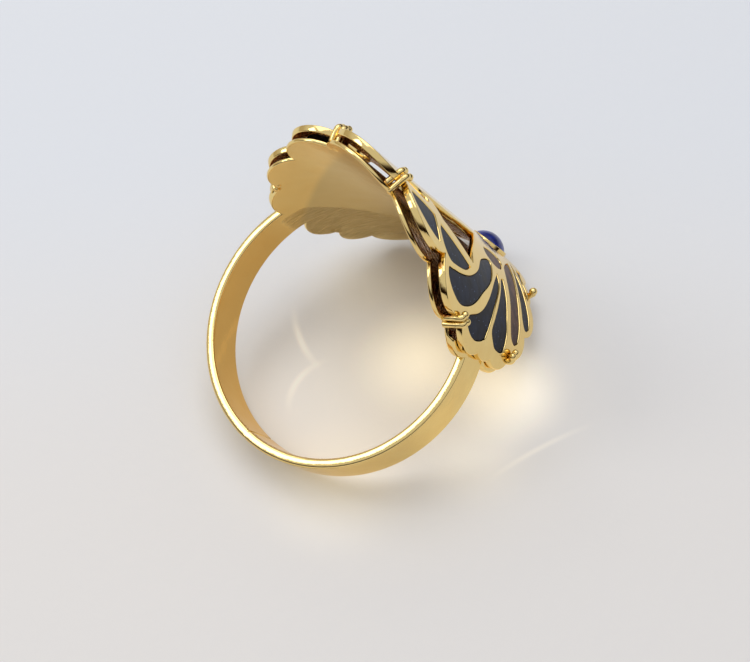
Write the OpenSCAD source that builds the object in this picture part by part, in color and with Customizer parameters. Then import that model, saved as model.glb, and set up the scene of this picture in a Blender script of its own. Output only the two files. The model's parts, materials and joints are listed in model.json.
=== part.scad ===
/* [Finger] */
// Diameter of the finger bore
finger_d = 17.5; // [15:0.1:21]

/* [Hoop] */
// Thickness of the hoop wall
hoop_wall = 0.65; // [0.55:0.05:0.8]
// Half of the hoop's width at the height of the finger's axis
hoop_half_w = 1.38; // [1.1:0.01:1.8]
// How much that half width grows from the axis down to the back
hoop_flare = 0.15; // [0:0.01:0.3]

/* [Head] */
// Thickness of the base plate that is soldered to the hoop
plate_t = 0.3; // [0.3:0.02:0.4]
// Thickness of the plaque
plaque_t = 0.44; // [0.4:0.01:0.6]
// How far the base plate stands out past the plaque's edge
plate_lip = 0.1; // [0.05:0.01:0.2]
// Angle from the head's middle at which the hoop's full wall begins
shoulder_angle = 64; // [60:1:66]
// How far the axis of the plaque's own arch lies above the finger's axis
arch_rise = 0.23; // [0.1:0.01:0.3]
// How many degrees the plaque's far end is raised
head_tilt = 0.6; // [0.2:0.1:0.8]

/* [Enamel] */
// Depth of the enamel pockets in the plaque
pocket_depth = 0.3; // [0.2:0.01:0.35]
// How far the enamel lies below the gold lines
enamel_drop = 0.06; // [0.02:0.01:0.1]
// Gap between a set piece and its pocket
set_gap = 0.03; // [0.02:0.01:0.05]

/* [Claws] */
// Diameter of the claw wire
wire_d = 0.42; // [0.38:0.02:0.46]
// Distance between the two wires of a claw
wire_pitch = 0.5; // [0.44:0.02:0.56]
// Radius of the bend where a wire turns over the plaque
wire_bend = 0.25; // [0.24:0.01:0.3]
// How far a wire runs on over the plaque after its bend
wire_reach = 0.12; // [0.1:0.02:0.2]
// Radius of the bead at the end of a wire
bead_r = 0.24; // [0.23:0.01:0.28]
// Gap between a claw and the plaque
claw_gap = 0.05; // [0.04:0.01:0.08]

/* [Stone] */
// Diameter of the round cabochon
stone_d = 2.4; // [2.2:0.05:2.6]
// Place of the cabochon's centre along the finger
stone_along = 8.7; // [8.6:0.05:8.8]
// Height of the bezel's rim over the plaque
bezel_h = 0.12; // [0.08:0.02:0.2]
// Thickness of the bezel wall
bezel_wall = 0.16; // [0.12:0.01:0.2]
// Height of the cabochon's dome over the bezel's rim
dome_h = 0.62; // [0.5:0.02:0.7]

/* [Hidden] */
$fn = 96;

// Radii of the layers, from the finger outwards. The plaque sits on the hoop's
// shoulders and leaves a dark slot over the thinner base plate.
bore_r = finger_d / 2;
plate_r = bore_r + plate_t;
hoop_r = bore_r + hoop_wall;
under_r = hoop_r + set_gap;
top_r = under_r + plaque_t;
floor_r = top_r - pocket_depth;
wire_r = wire_d / 2;
beyond = 3;

// Lobes of the head's outline on the right half, front to back.
// Arc is measured over the plaque's top from the middle line, along is the
// place along the finger, round is the lobe's radius, and farther is how much
// farther back the base plate's lobe lies than the plaque's. The last lobe lies
// under the stone, and the one before it reaches farthest.
ARC = 0;
ALONG = 1;
ROUND = 2;
FARTHER = 3;
LOBES = [
    [0, -8.6, 3, 0],
    [4.5, -7.45, 2.5, 0],
    [7.95, -5, 2.15, 0],
    [9.45, -1.9, 2.3, 0],
    [9.85, 0.2, 1.8, 0],
    [9.65, 2.35, 2, 0.2],
    [8.8, 4.8, 1.6, 0.6],
    [6.45, 6.3, 2.1, 0.6],
    [4.35, 7.4, 1.75, 0.4],
    [2.6, 9, 1.35, 0],
    [0, 8.7, 1.55, 0]
];

// Claws on the right half. Facing is the direction in which the claw's foot
// stands out from the edge, in degrees from the arc towards the far side.
FACING = 2;
WIRES = 3;
CLAWS = [
    [10.1, -4.25, -42, 2],
    [2.6, -9.5, -80, 2],
    [10.25, 4.1, 40, 2],
    [4.65, 8.95, 76, 1]
];

// Outlines of the pockets on the right half. The third value is 1 where the
// outline has a corner and 0 where it runs on smoothly. Each half's pockets and
// recesses lie this much farther out from the middle line than in the tables.
HALF_SHIFT = 0.15;
CORNER = 2;
FRONT_LEAF = [
    [3.3, -9.1, 0], [4.3, -9.4, 0], [5.35, -8.7, 0], [5.95, -7.7, 0], [6.05, -7.15, 1],
    [5, -6.9, 0], [3.95, -6.5, 1], [3.65, -7.2, 0], [3.35, -8.2, 0]
];
FAN_LEAF = [
    [4.45, -6, 1], [5.1, -6.5, 0], [6.05, -6.55, 0], [6.75, -6, 0], [6.85, -5.05, 0],
    [6.7, -3.6, 0], [6.2, -2.55, 1]
];
FEATHER_1 = [
    [7.35, -6.3, 0], [8, -6.35, 0], [8.7, -5.65, 0], [9.1, -4.55, 0], [8.9, -3.3, 0],
    [8.35, -2.15, 0], [7.4, -0.9, 0], [6.15, 0.85, 0], [4.6, 2, 0], [4.25, 1.7, 0],
    [4.9, -0.05, 0], [6.05, -1.3, 0], [6.8, -2.7, 0], [7.15, -4.15, 0], [7.25, -5.5, 0]
];
FEATHER_2 = [
    [9.4, -3.05, 0], [9.9, -3.15, 0], [10.4, -2.45, 0], [10.55, -1.45, 0], [10.2, -0.35, 0],
    [9.6, 0, 0], [7.8, 0.95, 0], [6, 2.35, 0], [5.05, 2.6, 1], [6.05, 1.4, 0],
    [7.6, -0.05, 0], [8.45, -0.95, 0], [8.95, -1.8, 0]
];
FEATHER_3 = [
    [9.35, 0.65, 0], [9.9, 1, 0], [10.3, 1.6, 0], [10.2, 2.8, 0], [9.15, 3.15, 0],
    [7.8, 3.15, 0], [6.35, 3.4, 0], [5.1, 3.6, 1], [5.35, 3.05, 0], [6.35, 2.4, 0],
    [7.4, 1.7, 0], [8.55, 1, 0]
];
FEATHER_4 = [
    [8.9, 3.9, 0], [9.3, 4.5, 0], [9, 5.1, 0], [7.9, 5.4, 0], [6.9, 5.5, 0],
    [5.4, 5.95, 0], [4.05, 6.6, 0], [2.5, 7.5, 1], [3, 6.4, 0], [3.75, 5.2, 0],
    [4.4, 4.7, 0], [5.3, 4.3, 0], [6.6, 4, 0], [7.9, 3.75, 0]
];
FEATHER_5 = [
    [7.85, 6.35, 0], [7.75, 6.95, 0], [7.1, 7.35, 0], [6.1, 7.45, 0], [5.05, 7.55, 0],
    [4.1, 7.75, 0], [3.1, 8, 0], [2.2, 8.45, 1], [2.85, 7.85, 0], [3.85, 7.1, 0],
    [4.6, 6.65, 0], [5.5, 6.3, 0], [6.5, 6.1, 0], [7.3, 6.05, 0]
];
FEATHER_6 = [
    [5.4, 7.95, 0], [5.1, 8.3, 0], [4.5, 8.55, 0], [3.8, 8.65, 0], [3.2, 9.1, 0],
    [2.5, 9.75, 1], [2.5, 9.1, 0], [3.05, 8.55, 0], [3.9, 8.2, 0], [4.7, 8.05, 0]
];
STONE_LEAF = [
    [3.75, 1.9, 0], [4.2, 2.5, 0], [4.35, 3.3, 0], [4.15, 4.2, 0], [3.55, 4.95, 0],
    [3.1, 5.05, 0], [2.9, 4.6, 0], [2.8, 3.9, 0], [2.85, 3.1, 0], [3.1, 2.3, 0]
];
// Open recesses on the right half, cut right through the plaque
SLIM_RECESS = [
    [1.95, -9.1, 1], [2.65, -8, 0], [3.05, -6.75, 0], [2.7, -6, 0], [2, -6.25, 0],
    [1.7, -7.4, 0]
];
WIDE_RECESS = [
    [1.85, -5.7, 0], [2.6, -5.3, 0], [3.8, -5.05, 1], [5.75, -2, 1], [5.1, -1.6, 0],
    [4.3, -0.85, 0], [3.15, 0.6, 0], [1.85, 2.3, 1], [1.85, 0.5, 0], [2, -1.5, 0]
];
// Pockets on the middle line, right half only, from front to back
CENTRE_PETAL = [[0, -10.6], [0.45, -10], [0.8, -8.8], [0.9, -7.4], [0.75, -6.2], [0, -5.4]];
CENTRE_STEM = [
    [0, -4.6], [0.45, -3.9], [0.8, -2.2], [0.8, 0.4], [0.95, 2.6], [0.85, 4.4], [0, 6.2]
];

// Angle at the finger's axis that an arc over the plaque's top takes
function degrees_of(arc) = arc / top_r * 180 / PI;
// Angle at which the arch and the hoop's round have the same height
arch_end = degrees_of(11.6);
// How far the arch lies over the hoop's round at a place on the head
function arch_over(arc, along) = arch_rise * (cos(degrees_of(arc)) - cos(arch_end))
    + along * sin(head_tilt) * cos(degrees_of(arc));
// Rate of change at point i of a closed outline, before or after it
function slope(pts, i, after) =
    let (n = len(pts), here = pts[i], next = pts[(i + 1) % n], last = pts[(i + n - 1) % n])
    here[CORNER] == 1 ? (after ? next - here : here - last) : (next - last) / 2;
// Smooth closed outline through the points, moved out, with steps pieces to each span
function smooth(pts, moved = HALF_SHIFT, steps = 4) = [
    for (i = [0:len(pts) - 1]) for (k = [0:steps - 1])
    let (
        j = (i + 1) % len(pts), t = k / steps,
        p = pts[i] * (2 * pow(t, 3) - 3 * pow(t, 2) + 1)
            + pts[j] * (3 * pow(t, 2) - 2 * pow(t, 3))
            + slope(pts, i, true) * (pow(t, 3) - 2 * pow(t, 2) + t)
            + slope(pts, j, false) * (pow(t, 3) - pow(t, 2))
    )
    [p[ARC] + moved, p[ALONG]]
];
// Outline across the middle line, from its right half
function both_halves(half) = let (n = len(half)) [
    for (i = [0:n - 1]) [half[i][ARC], half[i][ALONG], i == 0 || i == n - 1 ? 1 : 0],
    for (i = [n - 2:-1:1]) [-half[i][ARC], half[i][ALONG], 0]
];
function unit(v) = v / norm(v);
function cross_2d(a, b) = a[0] * b[1] - a[1] * b[0];
function turned_left(v) = [-v[1], v[0]];
// Twice the signed area, which is positive where the outline runs anticlockwise
function signed_area(pts) = let (n = len(pts), parts = [
    for (i = [0:n - 1]) cross_2d(pts[i], pts[(i + 1) % n])
]) parts * [for (i = parts) 1];
// Outline drawn in by d on all sides
function drawn_in(pts, d) = let (n = len(pts), side = sign(signed_area(pts))) [
    for (i = [0:n - 1])
    let (
        a = side * turned_left(unit(pts[i] - pts[(i + n - 1) % n])),
        b = side * turned_left(unit(pts[(i + 1) % n] - pts[i]))
    )
    pts[i] + d * (a + b) / max(1 + a * b, 0.3)
];

// Resting tilt: the far rim of the hoop's back and the far lobes touch the floor
back_along = hoop_half_w + hoop_flare;
lobe_tip = LOBES[len(LOBES) - 2];
// The point that touches lies this many degrees round the lobe from its tip
tip_turn = 7.5;
tip_along = lobe_tip[ALONG] + lobe_tip[ROUND] * cos(tip_turn);
tip_side = degrees_of(lobe_tip[ARC]) + asin(lobe_tip[ROUND] * sin(tip_turn) / bore_r);
tip_height = bore_r * cos(tip_side);
lean = atan((tip_along - back_along) / (tip_height + hoop_r));
lift = back_along * cos(lean) + hoop_r * sin(lean);
// Bezel and dome over the plaque's far end
stone_r = stone_d / 2;
rim_r = stone_r + set_gap + bezel_wall;
rim_height = top_r + arch_over(0, stone_along) + bezel_h;
dome_r = (pow(stone_r, 2) + pow(dome_h, 2)) / (2 * dome_h);
dome_centre = rim_height + dome_h - dome_r;
// Reach across the floor, from the hoop's back to the dome
back_edge = -back_along * sin(lean) - hoop_r * cos(lean);
front_edge = stone_along * sin(lean) + dome_centre * cos(lean) + dome_r;

// The finger's axis runs along Y and the head points along Z before this
module at_rest() {
    translate([0, -(back_edge + front_edge) / 2, lift]) rotate([lean - 90, 0, 0]) children();
}

// Round bar along the finger
module finger_bar(r) {
    rotate([90, 0, 0]) cylinder(h = 40, r = r, center = true);
}

// Bar under the plaque's arch, as high as a round bar of radius r at arch_end
module arched_bar(r) {
    arch_r = norm([r * sin(arch_end), r * cos(arch_end) - arch_rise]);
    rotate([head_tilt, 0, 0]) translate([0, 0, arch_rise]) finger_bar(arch_r);
}

// Moves to a place over the head, with Z pointing away from the finger's axis
module over_head(arc, along) {
    rotate([0, degrees_of(arc), 0]) translate([0, along, 0]) children();
}

// Column through an outline over the head, standing at the outline's middle
module column(pts) {
    arcs = [for (p = pts) p[ARC]];
    middle = (min(arcs) + max(arcs)) / 2;
    flat = [for (p = pts) [top_r * sin(degrees_of(p[ARC] - middle)), p[ALONG]]];
    over_head(middle, 0)
        translate([0, 0, floor_r - beyond / 2])
            linear_extrude(height = beyond) polygon(flat);
}

// Block with the head's outline, its lobes drawn in by inset. The share is 1 for
// the base plate and 0 for the plaque.
module head_block(inset, share) {
    right = [for (p = LOBES) [top_r * sin(degrees_of(p[ARC])), p[ALONG] + share * p[FARTHER]]];
    left = [for (i = [len(right) - 2:-1:1]) [-right[i][0], right[i][1]]];
    translate([0, 0, 2]) linear_extrude(height = 10) polygon(concat(right, left));
    for (p = LOBES, side = p[ARC] == 0 ? [1] : [-1, 1])
        over_head(side * p[ARC], p[ALONG] + share * p[FARTHER])
            translate([0, 0, bore_r - 1.2]) cylinder(h = beyond, r = p[ROUND] - inset);
}

// Hoop that widens a little towards the back, with its wall cut down to the
// base plate's thickness under the head
module hoop() {
    reach = hoop_r + 1;
    narrow = hoop_half_w - hoop_flare * reach / hoop_r;
    wide = hoop_half_w + hoop_flare * reach / hoop_r;
    side = [[-wide, -reach], [wide, -reach], [narrow, reach], [-narrow, reach]];
    far = 2 * reach;
    below = [
        [0, 0], [far * sin(shoulder_angle), far * cos(shoulder_angle)], [far, -far],
        [-far, -far], [-far * sin(shoulder_angle), far * cos(shoulder_angle)]
    ];
    intersection() {
        rotate([90, 0, 90]) linear_extrude(height = 2 * reach, center = true) polygon(side);
        union() {
            finger_bar(plate_r);
            intersection() {
                finger_bar(hoop_r);
                rotate([90, 0, 0]) linear_extrude(height = 8, center = true) polygon(below);
            }
        }
    }
}

// Moves to a claw's place, with X pointing out from the head's edge
module at_claw(p) {
    over_head(p[ARC], p[ALONG]) rotate([0, 0, p[FACING]]) children();
}

// Notch in the plaque's edge through which a claw's legs rise
module claw_room(p) {
    width = (p[WIRES] - 1) * wire_pitch + wire_d + 2 * claw_gap;
    at_claw(p) translate([0, -width / 2, bore_r]) cube([2 * wire_d, width, beyond]);
}

// Claw of two wires that rise past the plaque's edge and turn in over it, or of
// one straight wire with a bead that lies over the edge
module claw(p) {
    over = top_r + arch_over(p[ARC], p[ALONG]) + claw_gap;
    run_r = over + wire_r;
    leg_out = wire_r + claw_gap;
    end_out = leg_out - wire_bend - wire_reach;
    at_claw(p) for (place = p[WIRES] == 1 ? [0] : [-0.5, 0.5])
        translate([0, place * wire_pitch, 0]) {
            translate([plate_lip + 0.1, 0, plate_r - 0.15]) sphere(r = 0.3);
            if (p[WIRES] == 1) {
                translate([leg_out, 0, bore_r]) cylinder(h = over + bead_r - bore_r, r = wire_r);
                translate([leg_out - wire_r, 0, over + bead_r + 0.04]) sphere(r = bead_r + 0.04);
            } else {
                translate([leg_out, 0, plate_r - 0.3])
                    cylinder(h = run_r - wire_bend - plate_r + 0.3, r = wire_r);
                translate([leg_out - wire_bend, 0, run_r - wire_bend]) rotate([90, 0, 0])
                    rotate_extrude(angle = 90) translate([wire_bend, 0]) circle(r = wire_r);
                translate([end_out, 0, run_r]) rotate([0, 90, 0])
                    cylinder(h = wire_reach, r = wire_r);
                translate([end_out, 0, over + bead_r]) sphere(r = bead_r);
            }
        }
}

module ring_body() {
    color("goldenrod") at_rest() difference() {
        union() {
            hoop();
            intersection() {
                head_block(0, 1);
                finger_bar(plate_r);
            }
            for (p = CLAWS, side = [0, 1]) mirror([side, 0, 0]) claw(p);
        }
        finger_bar(bore_r);
    }
}

// Wall round the stone, standing on the plaque
module bezel() {
    foot = under_r - 0.6;
    translate([0, stone_along, foot]) cylinder(h = rim_height - foot, r = rim_r);
}

module plaque() {
    color("gold") at_rest() difference() {
        union() {
            intersection() {
                head_block(plate_lip, 0);
                arched_bar(top_r);
            }
            bezel();
        }
        arched_bar(under_r);
        translate([0, stone_along, top_r]) cylinder(h = beyond, r = stone_r + set_gap);
        for (side = [0, 1]) mirror([side, 0, 0]) {
            for (p = CLAWS) claw_room(p);
            column(smooth(SLIM_RECESS));
            column(smooth(WIDE_RECESS));
            for (p = [
                FRONT_LEAF, FAN_LEAF, FEATHER_1, FEATHER_2, FEATHER_3, FEATHER_4, FEATHER_5,
                FEATHER_6, STONE_LEAF
            ]) pocket(smooth(p));
        }
        pocket(smooth(both_halves(CENTRE_PETAL), 0));
        pocket(smooth(both_halves(CENTRE_STEM), 0));
    }
}

// Pocket with its floor at floor_r
module pocket(outline) {
    difference() {
        column(outline);
        arched_bar(floor_r);
    }
}

// Enamel that fills a pocket to just under the gold lines
module enamel(outline, side = 1) {
    color("midnightblue") at_rest() mirror([side < 0 ? 1 : 0, 0, 0]) difference() {
        intersection() {
            column(drawn_in(outline, set_gap));
            arched_bar(top_r - enamel_drop);
        }
        arched_bar(floor_r + set_gap);
    }
}

module lapis_cabochon() {
    color("royalblue") at_rest() translate([0, stone_along, 0]) intersection() {
        translate([0, 0, top_r + set_gap]) cylinder(h = beyond, r = stone_r);
        translate([0, 0, dome_centre]) sphere(r = dome_r, $fn = 192);
    }
}

ring_body();
plaque();
lapis_cabochon();
enamel(smooth(both_halves(CENTRE_PETAL), 0));  // centre_petal
enamel(smooth(both_halves(CENTRE_STEM), 0));  // centre_stem
enamel(smooth(FRONT_LEAF), -1);  // front_leaf_left
enamel(smooth(FRONT_LEAF));  // front_leaf_right
enamel(smooth(FAN_LEAF), -1);  // fan_leaf_left
enamel(smooth(FAN_LEAF));  // fan_leaf_right
enamel(smooth(FEATHER_1), -1);  // feather_1_left
enamel(smooth(FEATHER_1));  // feather_1_right
enamel(smooth(FEATHER_2), -1);  // feather_2_left
enamel(smooth(FEATHER_2));  // feather_2_right
enamel(smooth(FEATHER_3), -1);  // feather_3_left
enamel(smooth(FEATHER_3));  // feather_3_right
enamel(smooth(FEATHER_4), -1);  // feather_4_left
enamel(smooth(FEATHER_4));  // feather_4_right
enamel(smooth(FEATHER_5), -1);  // feather_5_left
enamel(smooth(FEATHER_5));  // feather_5_right
enamel(smooth(FEATHER_6), -1);  // feather_6_left
enamel(smooth(FEATHER_6));  // feather_6_right
enamel(smooth(STONE_LEAF), -1);  // stone_leaf_left
enamel(smooth(STONE_LEAF));  // stone_leaf_right
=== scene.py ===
import json
import math
import random

import bmesh
import bpy
from mathutils import Matrix, Vector


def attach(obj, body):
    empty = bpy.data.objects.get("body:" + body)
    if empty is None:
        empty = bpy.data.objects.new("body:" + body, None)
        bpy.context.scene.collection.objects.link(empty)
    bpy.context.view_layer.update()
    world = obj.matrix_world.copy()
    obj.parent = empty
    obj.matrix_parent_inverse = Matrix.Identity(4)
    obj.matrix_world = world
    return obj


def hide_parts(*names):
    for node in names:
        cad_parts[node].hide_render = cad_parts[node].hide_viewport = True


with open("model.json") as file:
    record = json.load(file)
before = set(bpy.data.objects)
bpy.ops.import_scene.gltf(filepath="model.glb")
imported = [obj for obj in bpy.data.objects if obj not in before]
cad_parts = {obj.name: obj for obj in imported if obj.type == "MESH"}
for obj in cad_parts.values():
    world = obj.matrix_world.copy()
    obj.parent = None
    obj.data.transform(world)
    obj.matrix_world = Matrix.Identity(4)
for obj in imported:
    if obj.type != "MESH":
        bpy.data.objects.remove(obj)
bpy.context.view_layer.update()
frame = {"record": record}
print("frame loaded")

# Place of the ring: shapes are made in millimetres, with the finger's axis along Y
# and the head along Z, and ringPlace lays them where the ring rests.
perMetre = 1000
bore = frame["record"]["mounts"][0]
ringX = Vector((1, 0, 0))
ringY = -Vector(bore["axis"]).normalized()
ringZ = ringX.cross(ringY)
ringTurn = Matrix((ringX, ringY, ringZ)).transposed().to_4x4()
ringPlace = Matrix.Translation(Vector(bore["pos_m"])) @ ringTurn @ Matrix.Scale(1 / perMetre, 4)
ringBack = Matrix(ringTurn.inverted())
ringBack.translation = -perMetre * (ringBack.to_3x3() @ Vector(bore["pos_m"]))

# Radii in millimetres: the bore, the base plate's outside, the hoop's outside, the
# plaque's underside and top, and the middle of the base plate's thickness
boreR = 8.75
plateR = 9.05
hoopR = 9.4
underR = 9.43
topR = 9.87
plateMid = 8.9

# Angle from the middle of the head at which the base plate turns into the hoop
shoulderAngle = math.radians(64)
# Faces whose normals come within this cosine of the bend's take the bend's own
bendCosine = 0.97

# The plaque's own arch, a little higher in the middle and at the far end
archRise = 0.23
archEnd = 11.6 / topR
headTilt = math.radians(0.6)


# Radius of the arch through a base radius, at an angle and a place along the finger
def archRadius(base, angle, along):
    arch = math.hypot(base * math.sin(archEnd), base * math.cos(archEnd) - archRise)
    axis = archRise + along * math.sin(headTilt)
    return axis * math.cos(angle) + math.sqrt(arch**2 - (axis * math.sin(angle)) ** 2)


# Nodes of one material or world
class Graph:
    def __init__(self, tree):
        self.tree = tree
        self.tree.nodes.clear()

    def node(self, kind, feeds=None, **settings):
        made = self.tree.nodes.new("ShaderNode" + kind)
        for key, value in settings.items():
            setattr(made, key, value)
        for key, value in (feeds or {}).items():
            self.feed(made.inputs[key], value)
        return made

    def feed(self, socket, value):
        if isinstance(value, Field):
            self.tree.links.new(value.socket, socket)
        else:
            socket.default_value = value

    def math(self, operation, *values):
        made = self.node("Math", operation=operation)
        for socket, value in zip(made.inputs, values):
            self.feed(socket, value)
        return Field(self, made.outputs[0])

    def place(self):
        return Field(self, self.node("TexCoord").outputs["Object"])

    # Object coordinates turned back into the ring's own frame, in millimetres
    def placeInRing(self):
        turned = self.node(
            "Mapping",
            {
                "Vector": self.place(),
                "Location": tuple(ringBack.to_translation()),
                "Rotation": tuple(ringBack.to_euler()),
                "Scale": (perMetre, perMetre, perMetre),
            },
        )
        return Field(self, turned.outputs[0])

    def split(self, vector):
        parts = self.node("SeparateXYZ", {"Vector": vector})
        return [Field(self, socket) for socket in parts.outputs]

    def join(self, x, y, z):
        return Field(self, self.node("CombineXYZ", {"X": x, "Y": y, "Z": z}).outputs[0])

    def noise(self, vector, scale, detail=2, roughness=0.5, distortion=0):
        made = self.node(
            "TexNoise",
            {
                "Vector": vector,
                "Scale": scale,
                "Detail": detail,
                "Roughness": roughness,
                "Distortion": distortion,
            },
        )
        return Field(self, made.outputs[0])

    def cells(self, vector, scale):
        made = self.node("TexVoronoi", {"Vector": vector, "Scale": scale})
        return Field(self, made.outputs["Distance"])

    # Smooth step from 0, where the value is first, to 1, where it is last
    def ramp(self, value, first, last):
        made = self.node(
            "MapRange",
            {"Value": value, "From Min": first, "From Max": last},
            interpolation_type="SMOOTHSTEP",
        )
        return Field(self, made.outputs[0])

    # A Mix node has its share at input 0, its colours at inputs 6 and 7, and its
    # colour out at output 2
    def blend(self, share, first, second):
        made = self.node("Mix", data_type="RGBA")
        sockets = (made.inputs[0], made.inputs[6], made.inputs[7])
        for socket, value in zip(sockets, (share, first, second)):
            self.feed(socket, value)
        return Field(self, made.outputs[2])

    def bump(self, height, distance, strength):
        feeds = {"Height": height, "Distance": distance, "Strength": strength}
        return Field(self, self.node("Bump", feeds).outputs[0])

    def finish(self, **feeds):
        named = {key.replace("_", " "): value for key, value in feeds.items()}
        shader = self.node("BsdfPrincipled", named)
        output = self.node("OutputMaterial")
        self.tree.links.new(shader.outputs[0], output.inputs[0])


# One value in a node tree, which can be added, multiplied and compared
class Field:
    def __init__(self, graph, socket):
        self.graph = graph
        self.socket = socket

    def __add__(self, other):
        return self.graph.math("ADD", self, other)

    def __radd__(self, other):
        return self.graph.math("ADD", other, self)

    def __sub__(self, other):
        return self.graph.math("SUBTRACT", self, other)

    def __rsub__(self, other):
        return self.graph.math("SUBTRACT", other, self)

    def __mul__(self, other):
        return self.graph.math("MULTIPLY", self, other)

    def __rmul__(self, other):
        return self.graph.math("MULTIPLY", other, self)

    def __truediv__(self, other):
        return self.graph.math("DIVIDE", self, other)

    def __rtruediv__(self, other):
        return self.graph.math("DIVIDE", other, self)


# Linear colour from a hexadecimal one
def shade(value):
    parts = [int(value[i : i + 2], 16) / 255 for i in (0, 2, 4)]
    return tuple(p / 12.92 if p <= 0.04045 else ((p + 0.055) / 1.055) ** 2.4 for p in parts) + (1,)


def newMaterial(name):
    material = bpy.data.materials.new(name)
    material.use_nodes = True
    return material, Graph(material.node_tree)


# Polished gold. Its bore side has a painted amber reflection, with a painted grey reflection and a
# brushed patch behind the head, and the narrow room between the two plates has painted shade and
# reflection in a deep orange brown.
def goldMaterial():
    look = {
        "pale": "f8df98",
        "deep": "f0cf86",
        "amberReflection": "e0a548",
        "greyReflection": "a89e80",
        "scratched": "7d6a40",
        "shaded": "9c4a18",
        "rough": 0.06,
        "worn": 0.06,
        "insideRough": 0.16,
        "brushed": 0.16,
    }
    shares = {"amberReflection": 0.55, "lessOnHead": 0.3, "greyReflection": 0.4, "scratched": 0.42, "shaded": 0.85}
    heights = {"fine": 0.2, "wear": 0.9, "streaks": 2.4, "crinkle": 9}
    # Scale, detail and roughness of each noise
    grain = {
        "wear": (0.9, 3),
        "fine": (4, 3, 0.6),
        "streaks": (2.6, 4, 0.7),
        "crinkle": (2.6, 4, 0.6),
    }
    # Radii, angles in radians and places along the finger in millimetres between
    # which each region sets in
    edges = {
        "inner": (8.82, 8.77),
        "head": (1.5, 1.1),
        "patchTop": (-0.94, -1.0),
        "patchFoot": (-1.44, -1.38),
        "patchTurn": (-1.28, -1.2),
        "patchNear": (-0.9, -0.5),
        "patchFar": (7.6, 6.6),
        "streaks": (0.4, 0.55),
        "greyReflectionStart": (-1.13, -1.03),
        "greyReflectionEnd": (0.3, 0),
    }
    # Radians by which a region's edge turns with each millimetre along the finger
    slant = {"patchTop": 0.11, "patchFoot": 0.065, "greyReflection": 0.094}
    stretch = {"round": 3, "along": 8}
    material, graph = newMaterial("gold")
    place = graph.placeInRing()
    x, y, z = graph.split(place)
    wear = graph.noise(place, *grain["wear"])
    fine = graph.noise(place, *grain["fine"])
    radius = graph.math("SQRT", x * x + z * z)
    angle = graph.math("ARCTAN2", x, z)
    inner = graph.ramp(radius, *edges["inner"])
    head = graph.ramp(graph.math("ABSOLUTE", angle), *edges["head"])
    upper = graph.ramp(angle - slant["patchTop"] * y, *edges["patchTop"])
    lower = graph.ramp(angle - slant["patchFoot"] * y, *edges["patchFoot"])
    lower = lower * graph.ramp(angle, *edges["patchTurn"])
    patch = upper * lower * graph.ramp(y, *edges["patchNear"]) * graph.ramp(y, *edges["patchFar"])
    brush = graph.join(angle * stretch["round"], y * stretch["along"], radius)
    streaks = graph.noise(brush, *grain["streaks"])
    patch = patch * graph.ramp(streaks, *edges["streaks"])
    rough = look["rough"] + look["worn"] * wear
    rough = rough + inner * head * look["insideRough"] + inner * patch * look["brushed"]
    colour = graph.blend(wear, shade(look["pale"]), shade(look["deep"]))
    # The bore side, less so on the head, is tinted amber: a painted reflection of gold in gold
    amberReflection = inner * (shares["amberReflection"] - shares["lessOnHead"] * head)
    colour = graph.blend(amberReflection, colour, shade(look["amberReflection"]))
    # A greyer region on the bore side of the head, between two slanted edges: a painted reflection
    greyReflection = graph.ramp(angle + slant["greyReflection"] * y, *edges["greyReflectionStart"])
    greyReflection = greyReflection * graph.ramp(angle, *edges["greyReflectionEnd"]) * head
    colour = graph.blend(inner * greyReflection * shares["greyReflection"], colour, shade(look["greyReflection"]))
    colour = graph.blend(inner * patch * shares["scratched"], colour, shade(look["scratched"]))
    # Faces marked between get a painted deep orange brown and a crinkled bump: painted shade and
    # reflection of gold in gold in the narrow room between the plates
    between = Field(graph, graph.node("Attribute", attribute_name="between").outputs["Fac"])
    colour = graph.blend(between * shares["shaded"], colour, shade(look["shaded"]))
    crinkle = graph.noise(place, *grain["crinkle"])
    height = fine * heights["fine"] + wear * heights["wear"]
    height = height + inner * patch * streaks * heights["streaks"]
    height = height + between * crinkle * heights["crinkle"]
    graph.finish(
        Base_Color=colour,
        Metallic=1.0,
        Roughness=rough,
        Specular_Tint=(1.0, 0.93, 0.78, 1.0),
        Normal=graph.bump(height, 0.00005, 0.5),
    )
    return material


# Enamel, cloudy between two colours, with fine blue sparks
def enamelMaterial(name, base, tint):
    look = {"spark": "8fa9e0", "sparkShare": 0.6, "sparkScale": 3.2, "rough": 0.3, "uneven": 0.14}
    edges = {"spark": (0.13, 0.06), "cloud": (0.35, 0.65)}
    material, graph = newMaterial(name)
    place = graph.placeInRing()
    cloud = graph.noise(place, 0.9, 3)
    spark = graph.ramp(graph.cells(place, look["sparkScale"]), *edges["spark"])
    colour = graph.blend(graph.ramp(cloud, *edges["cloud"]), base, tint)
    colour = graph.blend(spark * look["sparkShare"], colour, shade(look["spark"]))
    graph.finish(
        Base_Color=colour,
        Roughness=look["rough"] + look["uneven"] * cloud,
        Specular_IOR_Level=0.08,
        Normal=graph.bump(graph.noise(place, 1.6, 2), 0.00005, 0.25),
    )
    return material


# Deep blue stone, cloudy, with paler flecks
def lapisMaterial():
    look = {"deep": "061460", "bright": "0f31ac", "fleck": "6f8be0", "fleckShare": 0.3}
    edges = {"cloud": (0.35, 0.7), "fleck": (0.64, 0.78)}
    material, graph = newMaterial("lapis")
    place = graph.placeInRing()
    cloud = graph.noise(place, 1.2, 4, 0.6, 0.4)
    fleck = graph.noise(place, 9, 3, 0.6)
    brightness = graph.ramp(cloud, *edges["cloud"])
    colour = graph.blend(brightness, shade(look["deep"]), shade(look["bright"]))
    flecks = graph.ramp(fleck, *edges["fleck"]) * look["fleckShare"]
    colour = graph.blend(flecks, colour, shade(look["fleck"]))
    graph.finish(
        Base_Color=colour,
        Roughness=0.3,
        Coat_Weight=0.35,
        Coat_Roughness=0.1,
        Normal=graph.bump(fleck, 0.00003, 0.3),
    )
    return material


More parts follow.
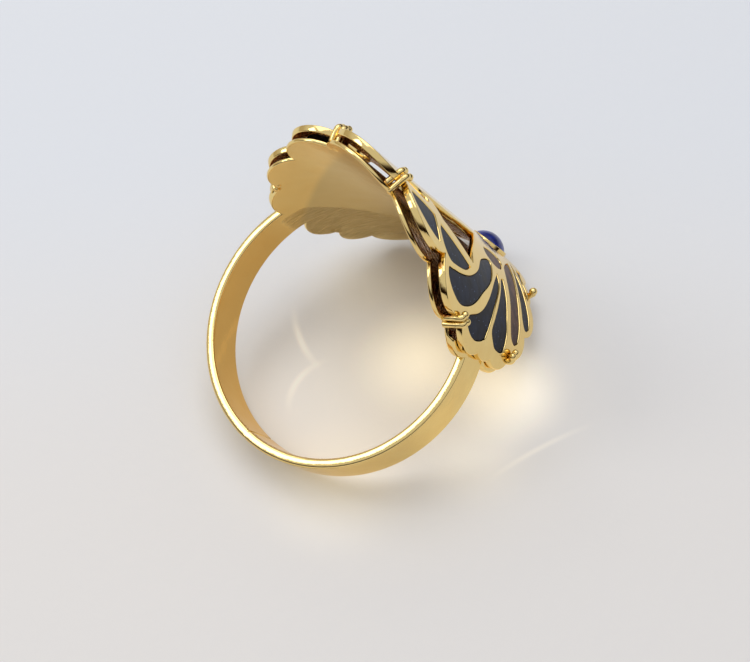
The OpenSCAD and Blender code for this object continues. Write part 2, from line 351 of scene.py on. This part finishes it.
# Pale paper with warm light painted on it, as polished gold would throw it. Places
# and sizes are in metres on the floor. A pool has its place, radius and strength. A
# thin arc has its circle's centre and radius, its width, the middle and the reach of
# the run that is lit, and its strength.
def floorMaterial():
    look = {"warm": "e9e6e3", "cool": "e4e7ec", "glow": "ffedc0"}
    turnsCool = (-0.02, 0.03)
    unlit = (0, 0, 0, 1)
    pools = [
        (0.003, -0.001, 0.016, 0.2),
        (0.0023, 0.0018, 0.0055, 0.34),
        (0.0082, 0.0038, 0.0048, 0.4),
        (0.0104, -0.0012, 0.0045, 0.12),
        (0.0055, -0.0088, 0.006, 0.14),
        (-0.006, 0.0032, 0.005, 0.1),
    ]
    arcs = [
        (-0.0014, 0.0056, 0.0092, 0.0004, -0.0048, -0.0028, 0.0034, 0.16),
        (0.0012, -0.0042, 0.0038, 0.0004, -0.0022, -0.0052, 0.003, 0.12),
        (0.039, -0.0045, 0.027, 0.0003, 0.013, 0.002, 0.0045, 0.1),
    ]
    material, graph = newMaterial("floorPaint")
    place = graph.place()
    x, y, z = graph.split(place)

    def away(fromX, fromY):
        sideways = x - fromX
        along = y - fromY
        return graph.math("SQRT", sideways * sideways + along * along)

    glow = 0
    for poolX, poolY, radius, strength in pools:
        glow = glow + graph.ramp(away(poolX, poolY), radius, 0) * strength
    for centreX, centreY, radius, width, litX, litY, reach, strength in arcs:
        off = graph.math("ABSOLUTE", away(centreX, centreY) - radius)
        lit = graph.ramp(away(litX, litY), reach, 0)
        glow = glow + graph.ramp(off, width, 0) * lit * strength
    colour = graph.blend(glow, unlit, shade(look["glow"]))
    # The paper turns from warm to cool across the floor: a painted tint of the mixed light
    paperWithPaintedTint = graph.blend(graph.ramp(y - x, *turnsCool), shade(look["warm"]), shade(look["cool"]))
    graph.finish(
        Base_Color=paperWithPaintedTint,
        Roughness=0.8,
        Emission_Color=colour,
        Emission_Strength=1.0,
        Normal=graph.bump(graph.noise(place, 900, 3), 0.0001, 0.25),
    )
    return material


gold = goldMaterial()
enamelDark = enamelMaterial("enamelDark", shade("080c18"), shade("1b2438"))
enamelRose = enamelMaterial("enamelRose", shade("4a3530"), shade("745548"))
lapis = lapisMaterial()
floorPaint = floorMaterial()
print("materials made")

# Flat outlines, in millimetres: arc over the head and place along the finger.
# Each lobe has its place, its radius, and how much farther back the base plate's
# lobe lies than the plaque's, front to back.
lobes = [
    (0, -8.6, 3, 0),
    (4.5, -7.45, 2.5, 0),
    (7.95, -5, 2.15, 0),
    (9.45, -1.9, 2.3, 0),
    (9.85, 0.2, 1.8, 0),
    (9.65, 2.35, 2, 0.2),
    (8.8, 4.8, 1.6, 0.6),
    (6.45, 6.3, 2.1, 0.6),
    (4.35, 7.4, 1.75, 0.4),
    (2.6, 9, 1.35, 0),
    (0, 8.7, 1.55, 0),
]


# The outer one of the two points where two lobes cross
def crossing(first, second):
    a = Vector(first[:2])
    b = Vector(second[:2])
    apart = (b - a).length
    along = (apart**2 + first[2] ** 2 - second[2] ** 2) / (2 * apart)
    across = math.sqrt(max(first[2] ** 2 - along**2, 0))
    towards = (b - a).normalized()
    side = Vector((towards.y, -towards.x))
    found = [a + towards * along + side * across * s for s in (-1, 1)]
    return max(found, key=lambda p: p.length)


# Points over a lobe from start to end, anticlockwise, without the end itself
def lobeRun(lobe, start, end, step=0.16):
    centre = Vector(lobe[:2])
    first = math.atan2(start[1] - centre.y, start[0] - centre.x)
    last = math.atan2(end[1] - centre.y, end[0] - centre.x)
    while last < first:
        last += math.tau
    count = max(2, round((last - first) * lobe[2] / step))
    turns = [first + (last - first) * i / count for i in range(count)]
    return [(centre.x + lobe[2] * math.cos(t), centre.y + lobe[2] * math.sin(t)) for t in turns]


# Points over a run of lobes, anticlockwise
def lobeChain(chain, start, end):
    stops = [start] + [crossing(a, b) for a, b in zip(chain, chain[1:])] + [end]
    points = []
    for lobe, a, b in zip(chain, stops, stops[1:]):
        points += lobeRun(lobe, a, b)
    return points


def mirrored(points):
    return [(-x, y) for x, y in reversed(points)]


# Lobes as seen unrolled at a radius, drawn in by shrink. The share is 1 for the
# base plate and 0 for the plaque.
def lobesAt(radius, share, shrink=0):
    return [
        (arc * radius / topR, along + share * farther, r - shrink)
        for arc, along, r, farther in lobes
    ]


# Whole outline of the plaque at a radius
def headOutline(radius, shrink):
    run = lobesAt(radius, 0, shrink)
    front = (0, run[0][1] - run[0][2])
    back = (0, run[-1][1] + run[-1][2])
    half = lobeChain(run, front, back) + [back]
    return half + mirrored(half)[1:-1]


# Half the hoop's width, which is least under the head and widest at the hoop's back
def hoopHalfWidth(angle):
    band = {"halfWidth": 1.38, "narrowing": 0.15}
    return band["halfWidth"] - band["narrowing"] * math.cos(angle)


# Outline of base plate and hoop together, unrolled at the plate's mid radius. The
# hoop leaves the head where one lobe lies over its middle, so that one is left out.
def bodyOutline():
    size = {"lobesInFront": 4, "join": math.radians(70), "steps": 60}
    run = lobesAt(plateMid, 1)
    front = run[: size["lobesInFront"]]
    back = run[size["lobesInFront"] + 1 :]
    width = hoopHalfWidth(size["join"])
    out = front[-1]
    leave = (out[0] + math.sqrt(out[2] ** 2 - (out[1] + width) ** 2), -width)
    into = back[0]
    meet = (into[0] + math.sqrt(into[2] ** 2 - (into[1] - width) ** 2), width)
    top = (0, back[-1][1] + back[-1][2])
    points = lobeChain(front, (0, run[0][1] - run[0][2]), leave)
    reach = math.pi * plateMid
    steps = size["steps"]
    band = [leave[0] + (reach - leave[0]) * i / steps for i in range(steps + 1)]
    points += [(s, -hoopHalfWidth(s / plateMid)) for s in band]
    points += [(s, hoopHalfWidth(s / plateMid)) for s in reversed(band)]
    points += lobeChain(back, meet, top) + [top]
    return points + mirrored(points)[1:-1]


# Point at share t of a smooth span from p to q, with its rates of change at both
def spanPoint(p, q, leaving, arriving, t):
    return (
        p * (2 * t**3 - 3 * t**2 + 1)
        + q * (3 * t**2 - 2 * t**3)
        + leaving * (t**3 - 2 * t**2 + t)
        + arriving * (t**3 - t**2)
    )


# Smooth closed outline through points of arc, along and corner
def smoothed(points, steps=8):
    count = len(points)
    made = []
    for i in range(count):
        p = Vector(points[i][:2])
        q = Vector(points[(i + 1) % count][:2])
        before = Vector(points[i - 1][:2])
        after = Vector(points[(i + 2) % count][:2])
        leaving = q - p if points[i][2] else (q - before) / 2
        arriving = q - p if points[(i + 1) % count][2] else (after - p) / 2
        for k in range(steps):
            made.append(spanPoint(p, q, leaving, arriving, k / steps))
    return [tuple(p) for p in made]


# The same closed outline with points about step apart. It keeps its corners, which
# turn by more than corner radians.
def evened(points, step=0.13, corner=0.6):
    kept = []
    for i, point in enumerate(points):
        p = Vector(point)
        before = p - Vector(points[i - 1])
        after = Vector(points[(i + 1) % len(points)]) - p
        sharp = before.angle(after, 0) > corner
        if sharp or not kept or (p - kept[-1]).length > step:
            kept.append(p)
    if (kept[0] - kept[-1]).length < step * 0.5:
        kept.pop()
    return [tuple(p) for p in kept]


# The outline moved inwards by gap. The limit keeps sharp corners from shooting out.
def drawnIn(points, gap, limit=0.3):
    count = len(points)
    area = sum(
        points[i - 1][0] * points[i][1] - points[i][0] * points[i - 1][1] for i in range(count)
    )
    side = 1 if area > 0 else -1
    moved = []
    for i in range(count):
        p = Vector(points[i])
        before = (p - Vector(points[i - 1])).normalized()
        after = (Vector(points[(i + 1) % count]) - p).normalized()
        a = side * Vector((-before.y, before.x))
        b = side * Vector((-after.y, after.x))
        moved.append(tuple(p + gap * (a + b) / max(1 + a.dot(b), limit)))
    return moved


# Mesh of a plate from z 0 to thickness through outlines, its edges rounded
def flatPlate(name, outlines, thickness, bevel, rounds):
    curve = bpy.data.curves.new(name, "CURVE")
    curve.dimensions = "2D"
    curve.fill_mode = "BOTH"
    curve.extrude = thickness / 2 - bevel
    curve.bevel_depth = bevel
    curve.bevel_resolution = rounds
    curve.offset = -bevel
    for outline in outlines:
        spline = curve.splines.new("POLY")
        spline.points.add(len(outline) - 1)
        for point, (x, y) in zip(spline.points, outline):
            point.co = (x, y, 0, 1)
        spline.use_cyclic_u = True
    holder = bpy.data.objects.new(name, curve)
    bpy.context.scene.collection.objects.link(holder)
    bpy.context.view_layer.update()
    ready = holder.evaluated_get(bpy.context.evaluated_depsgraph_get())
    mesh = bpy.data.meshes.new_from_object(ready)
    bpy.data.objects.remove(holder)
    bpy.data.curves.remove(curve)
    bm = bmesh.new()
    bm.from_mesh(mesh)
    bpy.data.meshes.remove(mesh)
    bmesh.ops.translate(bm, verts=bm.verts, vec=(0, 0, thickness / 2))
    bmesh.ops.remove_doubles(bm, verts=bm.verts, dist=0.0004)
    bmesh.ops.dissolve_degenerate(bm, edges=bm.edges, dist=0.0002)
    return bm


# Cuts the plate across the arc every step, so that it can bend
def sliced(bm, reach, step):
    count = round(2 * reach / step)
    for i in range(1, count):
        cut = -reach + 2 * reach * i / count
        bmesh.ops.bisect_plane(
            bm,
            geom=bm.verts[:] + bm.edges[:] + bm.faces[:],
            dist=0.00001,
            plane_co=(cut, 0, 0),
            plane_no=(1, 0, 0),
        )


# Rolls the plate round the finger. radiusAt takes angle, along and height.
def bent(bm, arcRadius, radiusAt):
    for vert in bm.verts:
        angle = vert.co.x / arcRadius
        radius = radiusAt(angle, vert.co.y, vert.co.z)
        vert.co = Vector((radius * math.sin(angle), vert.co.y, radius * math.cos(angle)))


# Object from a mesh made in the ring's frame. If bent, the faces that follow the bend
# get its own normals, about an axis at height rise. Those on the head that look to the
# narrow room between the two plates are marked as between, which gets painted shade and
# reflection there. The argument between is 1 for a piece whose outside looks to that room,
# -1 for one whose inside does, and 0 for neither.
def pieceFrom(bm, name, material, isBent=False, rise=0, between=0):
    bmesh.ops.recalc_face_normals(bm, faces=bm.faces)
    mesh = bpy.data.meshes.new(name)
    bm.faces.ensure_lookup_table()
    bm.verts.index_update()
    outward = {}
    for face in bm.faces:
        face.smooth = True
    if isBent:
        marks = bm.faces.layers.float.new("between")
        for face in bm.faces:
            middle = face.calc_center_median()
            facing = face.normal.dot(Vector((middle.x, 0, middle.z - rise)).normalized())
            onHead = abs(math.atan2(middle.x, middle.z)) < shoulderAngle
            # Faces looking into the gap between the plates are marked for painted shade and
            # reflection
            face[marks] = float(onHead and facing * between > bendCosine)
            if abs(facing) > bendCosine:
                for vert in face.verts:
                    away = Vector((vert.co.x, 0, vert.co.z - rise)).normalized()
                    outward[vert.index] = away if facing > 0 else -away
    bm.to_mesh(mesh)
    bm.free()
    mesh.transform(ringPlace)
    turn = ringTurn.to_3x3()
    mesh.set_sharp_from_angle(angle=math.radians(50))
    if outward:
        given = []
        for loop in mesh.loops:
            normal = outward.get(loop.vertex_index)
            given.append(tuple(turn @ normal) if normal else (0, 0, 0))
        mesh.normals_split_custom_set(given)
    mesh.materials.append(material)
    piece = bpy.data.objects.new(name, mesh)
    bpy.context.scene.collection.objects.link(piece)
    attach(piece, "root")
    return piece


# Hoop and base plate, one bent sheet. Its two ends meet at the hoop's back, where
# they are joined and the faces inside the seam are taken out.
def makeBody():
    size = {"thick": 0.65, "edge": 0.2, "rounds": 3, "slice": 0.4, "blend": math.radians(1.2)}
    seam = {"merge": 0.002, "below": -8.5, "facing": 0.99, "near": 0.01}
    bm = flatPlate("body", [bodyOutline()], size["thick"], size["edge"], size["rounds"])
    sliced(bm, math.pi * plateMid, size["slice"])
    end = shoulderAngle + size["blend"]

    def radiusAt(angle, along, height):
        t = min(max((abs(angle) - shoulderAngle) / (end - shoulderAngle), 0), 1)
        outer = plateR + (hoopR - plateR) * t
        return boreR + (outer - boreR) * height / size["thick"]

    bent(bm, plateMid, radiusAt)
    bmesh.ops.remove_doubles(bm, verts=bm.verts, dist=seam["merge"])
    inside = [
        face
        for face in bm.faces
        if face.calc_center_median().z < seam["below"]
        and abs(face.normal.x) > seam["facing"]
        and abs(face.calc_center_median().x) < seam["near"]
    ]
    bmesh.ops.delete(bm, geom=inside, context="FACES")
    return pieceFrom(bm, "ringBody", gold, isBent=True, between=1)


ringBody = makeBody()
print("hoop and base plate made", len(ringBody.data.polygons))

# Cells and recesses of the plaque, right half, with 1 at a corner
cells = {
    "front_leaf": [
        (3.3, -9.1, 0), (4.3, -9.4, 0), (5.35, -8.7, 0), (5.95, -7.7, 0), (6.05, -7.15, 1),
        (5, -6.9, 0), (3.95, -6.5, 1), (3.65, -7.2, 0), (3.35, -8.2, 0),
    ],
    "fan_leaf": [
        (4.45, -6, 1), (5.1, -6.5, 0), (6.05, -6.55, 0), (6.75, -6, 0), (6.85, -5.05, 0),
        (6.7, -3.6, 0), (6.2, -2.55, 1),
    ],
    "feather_1": [
        (7.35, -6.3, 0), (8, -6.35, 0), (8.7, -5.65, 0), (9.1, -4.55, 0), (8.9, -3.3, 0),
        (8.35, -2.15, 0), (7.4, -0.9, 0), (6.15, 0.85, 0), (4.6, 2, 0), (4.25, 1.7, 0),
        (4.9, -0.05, 0), (6.05, -1.3, 0), (6.8, -2.7, 0), (7.15, -4.15, 0), (7.25, -5.5, 0),
    ],
    "feather_2": [
        (9.4, -3.05, 0), (9.9, -3.15, 0), (10.4, -2.45, 0), (10.55, -1.45, 0), (10.2, -0.35, 0),
        (9.6, 0, 0), (7.8, 0.95, 0), (6, 2.35, 0), (5.05, 2.6, 1), (6.05, 1.4, 0),
        (7.6, -0.05, 0), (8.45, -0.95, 0), (8.95, -1.8, 0),
    ],
    "feather_3": [
        (9.35, 0.65, 0), (9.9, 1, 0), (10.3, 1.6, 0), (10.2, 2.8, 0), (9.15, 3.15, 0),
        (7.8, 3.15, 0), (6.35, 3.4, 0), (5.1, 3.6, 1), (5.35, 3.05, 0), (6.35, 2.4, 0),
        (7.4, 1.7, 0), (8.55, 1, 0),
    ],
    "feather_4": [
        (8.9, 3.9, 0), (9.3, 4.5, 0), (9, 5.1, 0), (7.9, 5.4, 0), (6.9, 5.5, 0),
        (5.4, 5.95, 0), (4.05, 6.6, 0), (2.5, 7.5, 1), (3, 6.4, 0), (3.75, 5.2, 0),
        (4.4, 4.7, 0), (5.3, 4.3, 0), (6.6, 4, 0), (7.9, 3.75, 0),
    ],
    "feather_5": [
        (7.85, 6.35, 0), (7.75, 6.95, 0), (7.1, 7.35, 0), (6.1, 7.45, 0), (5.05, 7.55, 0),
        (4.1, 7.75, 0), (3.1, 8, 0), (2.2, 8.45, 1), (2.85, 7.85, 0), (3.85, 7.1, 0),
        (4.6, 6.65, 0), (5.5, 6.3, 0), (6.5, 6.1, 0), (7.3, 6.05, 0),
    ],
    "feather_6": [
        (5.4, 7.95, 0), (5.1, 8.3, 0), (4.5, 8.55, 0), (3.8, 8.65, 0), (3.2, 9.1, 0),
        (2.5, 9.75, 1), (2.5, 9.1, 0), (3.05, 8.55, 0), (3.9, 8.2, 0), (4.7, 8.05, 0),
    ],
    "stone_leaf": [
        (3.75, 1.9, 0), (4.2, 2.5, 0), (4.35, 3.3, 0), (4.15, 4.2, 0), (3.55, 4.95, 0),
        (3.1, 5.05, 0), (2.9, 4.6, 0), (2.8, 3.9, 0), (2.85, 3.1, 0), (3.1, 2.3, 0),
    ],
}
recesses = [
    [
        (1.95, -9.1, 1), (2.65, -8, 0), (3.05, -6.75, 0), (2.7, -6, 0), (2, -6.25, 0),
        (1.7, -7.4, 0),
    ],
    [
        (1.85, -5.7, 0), (2.6, -5.3, 0), (3.8, -5.05, 1), (5.75, -2, 1), (5.1, -1.6, 0),
        (4.3, -0.85, 0), (3.15, 0.6, 0), (1.85, 2.3, 1), (1.85, 0.5, 0), (2, -1.5, 0),
    ],
]
middleCells = {
    "centre_petal": [(0, -10.6), (0.45, -10), (0.8, -8.8), (0.9, -7.4), (0.75, -6.2), (0, -5.4)],
    "centre_stem": [
        (0, -4.6), (0.45, -3.9), (0.8, -2.2), (0.8, 0.4), (0.95, 2.6), (0.85, 4.4), (0, 6.2),
    ],
}
# The cells that hold brownish pink enamel
roseCells = ("stone_leaf", "feather_4")

# Claws on the right half: arc, along, facing in degrees, and wires
claws = [(10.1, -4.25, -42, 2), (2.6, -9.5, -80, 2), (10.25, 4.1, 40, 2), (4.65, 8.95, 76, 1)]


# Outline across the middle line, from its right half
def acrossMiddle(half):
    last = len(half) - 1
    right = [(x, y, int(i in (0, last))) for i, (x, y) in enumerate(half)]
    left = [(-x, y, 0) for x, y in half[last - 1 : 0 : -1]]
    return right + left


def flipped(points):
    return [(-x, y, corner) for x, y, corner in reversed(points)]


# Each half's cells lie this much farther out from the middle line than in the tables
halfShift = 0.15


def movedOut(points):
    return [(x + halfShift, y, corner) for x, y, corner in points]


outlines = {}
for name, half in middleCells.items():
    outlines[name] = evened(smoothed(acrossMiddle(half)))
for name, points in cells.items():
    outlines[name + "_right"] = evened(smoothed(movedOut(points)))
    outlines[name + "_left"] = evened(smoothed(flipped(movedOut(points))))
openings = []
for points in recesses:
    openings.append(evened(smoothed(movedOut(points))))
    openings.append(evened(smoothed(flipped(movedOut(points)))))


# The plaque, with its cells and openings cut through
def makePlaque():
    size = {"thick": 0.44, "edge": 0.07, "rounds": 2, "slice": 0.3, "lip": 0.1, "reach": 11.9}
    edges = [headOutline(topR, size["lip"])] + list(outlines.values()) + openings
    bm = flatPlate("plaque", edges, size["thick"], size["edge"], size["rounds"])
    sliced(bm, size["reach"], size["slice"])
    bent(bm, topR, lambda angle, along, height: archRadius(underR + height, angle, along))
    return pieceFrom(bm, "plaqueShell", gold, isBent=True, rise=archRise, between=-1)


plaqueShell = makePlaque()
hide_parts("plaque")
print("plaque made", len(plaqueShell.data.polygons))


# The enamel of one cell, with heights over the plaque's underside
def makeEnamel(name, outline):
    size = {"gap": 0.035, "floor": 0.17, "top": 0.37, "edge": 0.04, "rounds": 1}
    cuts = {"reach": 12, "slice": 0.3}
    thick = size["top"] - size["floor"]
    paint = enamelRose if name.rsplit("_", 1)[0] in roseCells else enamelDark
    inset = drawnIn(outline, size["gap"])
    bm = flatPlate(name, [inset], thick, size["edge"], size["rounds"])
    sliced(bm, cuts["reach"], cuts["slice"])
    base = underR + size["floor"]
    bent(bm, topR, lambda angle, along, height: archRadius(base + height, angle, along))
    piece = pieceFrom(bm, "fill." + name, paint, isBent=True, rise=archRise)
    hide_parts(name)


for name, outline in outlines.items():
    makeEnamel(name, outline)
print("enamel made")


# Turns to a place over the head, with Z pointing away from the finger
def overHead(arc, along):
    return Matrix.Rotation(arc / topR, 4, "Y") @ Matrix.Translation((0, along, 0))


# Closed shape turned about Z from points of radius and height
def spun(profile, steps=96):
    bm = bmesh.new()
    verts = [bm.verts.new((r, 0, h)) for r, h in profile]
    edges = [bm.edges.new(pair) for pair in zip(verts, verts[1:])]
    bmesh.ops.spin(
        bm, geom=verts + edges, cent=(0, 0, 0), axis=(0, 0, 1), angle=math.tau, steps=steps
    )
    bmesh.ops.remove_doubles(bm, verts=bm.verts, dist=0.0005)
    return bm


# The stone and its bezel. Foot, seat and rim are distances from the finger's axis.
stoneSize = {
    "along": 8.7,
    "radius": 1.2,
    "gap": 0.015,
    "wall": 0.16,
    "foot": 9.6,
    "seat": 9.9,
    "rim": 10.22,
    "dome": 0.62,
}


# The bezel's wall, with a rounded rim a little flatter than a half circle
def makeBezel():
    flatness = 0.9
    steps = 10
    inner = stoneSize["radius"] + stoneSize["gap"]
    half = stoneSize["wall"] / 2
    middle = inner + half
    profile = [(inner + stoneSize["wall"], stoneSize["foot"])]
    for i in range(steps + 1):
        turn = i * math.pi / steps
        rise = half * flatness * (math.sin(turn) - 1)
        profile.append((middle + half * math.cos(turn), stoneSize["rim"] + rise))
    profile.append((inner, stoneSize["seat"]))
    bm = spun(profile)
    bmesh.ops.transform(bm, matrix=overHead(0, stoneSize["along"]), verts=bm.verts)
    return pieceFrom(bm, "bezel", gold)


# The stone, part of a ball over a flat seat
def makeStone():
    radius = stoneSize["radius"]
    dome = stoneSize["dome"]
    ball = (radius**2 + dome**2) / (2 * dome)
    steps = 24
    profile = [(0.0, stoneSize["seat"]), (radius, stoneSize["seat"])]
    for i in range(steps + 1):
        r = radius * math.cos(i * math.pi / 2 / steps)
        profile.append((r, stoneSize["rim"] + dome - ball + math.sqrt(ball**2 - r**2)))
    bm = spun(profile)
    bmesh.ops.transform(bm, matrix=overHead(0, stoneSize["along"]), verts=bm.verts)
    return pieceFrom(bm, "stone", lapis)


makeBezel()
stone = makeStone()
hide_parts("lapis_cabochon")
print("bezel and stone made")


# Round wire through points, smoothed, as rings of vertices joined up
def wire(bm, points, radius, steps=6, sides=14):
    path = [Vector(p) for p in points]
    fine = []
    for i in range(len(path) - 1):
        before = path[max(i - 1, 0)]
        after = path[min(i + 2, len(path) - 1)]
        p, q = path[i], path[i + 1]
        for k in range(steps):
            fine.append(spanPoint(p, q, (q - before) / 2, (after - p) / 2, k / steps))
    fine.append(path[-1])
    rings = []
    for i, p in enumerate(fine):
        towards = (fine[min(i + 1, len(fine) - 1)] - fine[max(i - 1, 0)]).normalized()
        turn = towards.to_track_quat("Z", "Y").to_matrix().to_4x4()
        turn.translation = p
        ring = bmesh.ops.create_circle(bm, segments=sides, radius=radius, matrix=turn)
        rings.append(ring["verts"])
    for first, second in zip(rings, rings[1:]):
        edges = set()
        for ring in (first, second):
            members = set(ring)
            for vert in ring:
                edges.update(e for e in vert.link_edges if e.other_vert(vert) in members)
        bmesh.ops.bridge_loops(bm, edges=list(edges))
    for ring in (rings[0], rings[-1]):
        bm.faces.new(ring)


def bead(bm, place, radius):
    bmesh.ops.create_uvsphere(
        bm, u_segments=20, v_segments=12, radius=radius, matrix=Matrix.Translation(place)
    )


# Overlapping closed shapes made into one soft skin
def fused(bm, name, grain):
    mesh = bpy.data.meshes.new(name)
    bmesh.ops.recalc_face_normals(bm, faces=bm.faces)
    bm.to_mesh(mesh)
    bm.free()
    holder = bpy.data.objects.new(name, mesh)
    bpy.context.scene.collection.objects.link(holder)
    remesh = holder.modifiers.new("fuse", "REMESH")
    remesh.mode = "VOXEL"
    remesh.voxel_size = grain
    soften = holder.modifiers.new("soften", "SMOOTH")
    soften.factor = 0.5
    soften.iterations = 3
    bpy.context.view_layer.update()
    ready = holder.evaluated_get(bpy.context.evaluated_depsgraph_get())
    made = bpy.data.meshes.new_from_object(ready)
    bpy.data.objects.remove(holder)
    result = bmesh.new()
    result.from_mesh(made)
    bpy.data.meshes.remove(made)
    return result


# Claws of doubled wire, fused into soft knots. X points out from the head's edge. A
# leg rises beside both plates to run, the height at which the wire lies over the
# plaque, and from there the wire bends in over the plaque up to end.
def makeClaws():
    size = {"wire": 0.21, "pitch": 0.5, "bead": 0.24, "single": 0.28, "gap": 0.05, "grain": 0.035}
    bend = {"in": 0.25, "reach": 0.12, "foot": 0.05, "wobble": 0.03, "seed": 4}
    solder = {"out": 0.15, "down": 0.12, "radius": 0.26}
    straight = {"single": 0.4, "doubled": 0.3}
    chance = random.Random(bend["seed"])
    leg = size["wire"] + size["gap"]
    foot = boreR + bend["foot"]
    made = []
    for i, (arc, along, facing, wires) in enumerate(claws):
        over = archRadius(topR, arc / topR, along) + size["gap"]
        run = over + size["wire"]
        end = leg - bend["in"] - bend["reach"]
        for side in (1, -1):
            bm = bmesh.new()
            places = (0,) if wires == 1 else (-size["pitch"] / 2, size["pitch"] / 2)
            for across in places:
                wobble = chance.uniform(-bend["wobble"], bend["wobble"])
                bead(bm, (solder["out"], across, plateR - solder["down"]), solder["radius"])
                if wires == 1:
                    top = over + size["single"]
                    stem = [(leg, 0, foot), (leg, 0, plateR + straight["single"]), (leg, 0, top)]
                    wire(bm, stem, size["wire"])
                    bead(bm, (0.05, 0, top), size["single"])
                else:
                    path = [
                        (leg, across, foot),
                        (leg, across, plateR + straight["doubled"]),
                        (leg + wobble, across * 0.96, run - 0.25),
                        (leg - 0.07, across * 0.92, run - 0.06),
                        (leg - bend["in"], across * 0.9, run),
                        (end, across * 0.92, run + 0.01),
                    ]
                    wire(bm, path, size["wire"])
                    bead(bm, (end, across, over + size["bead"]), size["bead"])
            soft = fused(bm, "claw", size["grain"])
            turn = Matrix.Scale(side, 4, (1, 0, 0)) @ overHead(arc, along)
            turn = turn @ Matrix.Rotation(math.radians(facing), 4, "Z")
            bmesh.ops.transform(soft, matrix=turn, verts=soft.verts)
            name = "claw_%d_%s" % (i + 1, "right" if side > 0 else "left")
            made.append(pieceFrom(soft, name, gold))
    return made


clawPieces = makeClaws()
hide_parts("ring_body")
print("claws made", sum(len(c.data.polygons) for c in clawPieces))

# Floor, light and camera, in metres
floorHalf = 3
floorCorners = [(x * floorHalf, y * floorHalf, 0) for x, y in ((-1, -1), (1, -1), (1, 1), (-1, 1))]
floorMesh = bpy.data.meshes.new("floor")
floorMesh.from_pydata(floorCorners, [], [(0, 1, 2, 3)])
floorMesh.materials.append(floorPaint)
floor = bpy.data.objects.new("floor", floorMesh)
bpy.context.scene.collection.objects.link(floor)


# Square lamp of a side and power, aimed at the middle of the ring
def lamp(name, place, side, power, colour):
    aim = Vector((0, 0, 0.01))
    light = bpy.data.lights.new(name, "AREA")
    light.shape = "RECTANGLE"
    light.size = side
    light.size_y = side
    light.energy = power
    light.color = colour
    holder = bpy.data.objects.new(name, light)
    holder.location = place
    holder.rotation_euler = (aim - Vector(place)).to_track_quat("-Z", "Y").to_euler()
    bpy.context.scene.collection.objects.link(holder)


lamp("keyLight", (-0.1, 0.06, 0.32), 0.3, 0.42, (1, 0.98, 0.95))
lamp("edgeLight", (-0.175, -0.16, 0.257), 0.12, 0.13, (1, 0.99, 0.98))


# Room light: bright overhead and on the left, with a dark brown band low down on
# the right, as in a furnished room
def makeWorld():
    room = {
        "high": 0.74,
        "low": 0.08,
        "left": 0.55,
        "upperEdge": (0.16, 0.6),
        "leftEdge": (-0.45, -0.8),
        "brown": "6b4c34",
        "wall": "f0e6d6",
        "ceiling": "f3f5fa",
    }
    world = bpy.data.worlds.new("studio")
    world.use_nodes = True
    bpy.context.scene.world = world
    graph = Graph(world.node_tree)
    x, y, z = graph.split(Field(graph, graph.node("TexCoord").outputs["Generated"]))
    upper = graph.ramp(z, *room["upperEdge"])
    left = graph.ramp(x, *room["leftEdge"])
    around = graph.blend(left, shade(room["brown"]), shade(room["wall"]))
    colour = graph.blend(upper, around, shade(room["ceiling"]))
    low = room["low"] + (room["left"] - room["low"]) * left
    strength = low + (room["high"] - low) * upper
    sky = graph.node("Background", {"Color": colour, "Strength": strength})
    out = graph.node("OutputWorld")
    world.node_tree.links.new(sky.outputs[0], out.inputs[0])


makeWorld()


# The camera is placed in the ring's own frame, so that it keeps its view of the ring
def setCamera():
    shot = {
        "eye": (47.474, -81.02, 7.169),
        "aim": (1.452, 0.939, 1.014),
        "up": (-0.5576, -0.2538, 0.7904),
        "lens": 70.74,
        "sensor": 36,
    }
    eye = ringPlace @ Vector(shot["eye"])
    forward = (ringPlace @ Vector(shot["aim"]) - eye).normalized()
    right = forward.cross(ringTurn.to_3x3() @ Vector(shot["up"])).normalized()
    place = Matrix((right, right.cross(forward), -forward)).transposed().to_4x4()
    place.translation = eye
    lens = bpy.data.cameras.new("camera")
    lens.lens = shot["lens"]
    lens.sensor_width = shot["sensor"]
    lens.clip_start = 0.005
    lens.clip_end = 10
    holder = bpy.data.objects.new("camera", lens)
    holder.matrix_world = place
    bpy.context.scene.collection.objects.link(holder)
    bpy.context.scene.camera = holder


setCamera()
bpy.context.scene.view_settings.view_transform = "Standard"
